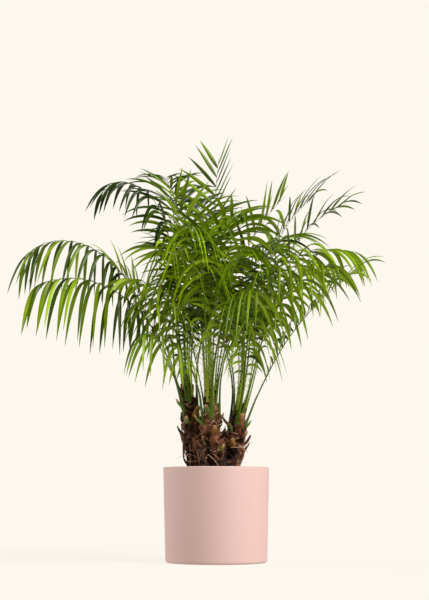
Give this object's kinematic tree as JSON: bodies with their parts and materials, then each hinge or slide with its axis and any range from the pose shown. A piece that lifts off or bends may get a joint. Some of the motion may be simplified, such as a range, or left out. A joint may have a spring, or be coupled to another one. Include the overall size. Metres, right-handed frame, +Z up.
{
  "type": "potted pygmy date palm",
  "caption": "Three-stemmed pygmy date palm with arching feathery fronds over cut leaf bases, in a plain matte cylindrical pot filled with potting mix.",
  "frame": {"origin": "centre of the pot's flat underside, on the surface that the pot stands on", "axes": "+Z up along the pot's axis, +X to the viewer's right and +Y away from the viewer in the picture"},
  "size_m": [1.1503, 1.0079, 1.2595],
  "materials": {
    "pot": "smooth matte, pale pink",
    "soil": "dark bark potting mix",
    "trunk": "rough brown fibre and cut leaf bases",
    "spear": "satin yellow-green, closed young leaf",
    "frond": "satin mid-green leaf"
  },
  "bodies": {
    "root": {"pot": "pot", "soil": "soil", "trunk_left": "trunk", "trunk_centre": "trunk", "trunk_right": "trunk", "spear_left": "spear", "spear_centre": "spear", "spear_right": "spear", "frond_left_01": "frond", "frond_left_02": "frond", "frond_left_03": "frond", "frond_left_04": "frond", "frond_left_05": "frond", "frond_left_06": "frond", "frond_left_07": "frond", "frond_left_08": "frond", "frond_left_09": "frond", "frond_left_10": "frond", "frond_left_11": "frond", "frond_left_12": "frond", "frond_centre_01": "frond", "frond_centre_02": "frond", "frond_centre_03": "frond", "frond_centre_04": "frond", "frond_centre_05": "frond", "frond_centre_06": "frond", "frond_centre_07": "frond", "frond_centre_08": "frond", "frond_centre_09": "frond", "frond_centre_10": "frond", "frond_centre_11": "frond", "frond_centre_12": "frond", "frond_centre_13": "frond", "frond_centre_14": "frond", "frond_right_01": "frond", "frond_right_02": "frond", "frond_right_03": "frond", "frond_right_04": "frond", "frond_right_05": "frond", "frond_right_06": "frond", "frond_right_07": "frond", "frond_right_08": "frond", "frond_right_09": "frond", "frond_right_10": "frond", "frond_right_11": "frond", "frond_right_12": "frond", "frond_right_13": "frond"}
  },
  "joints": []
}
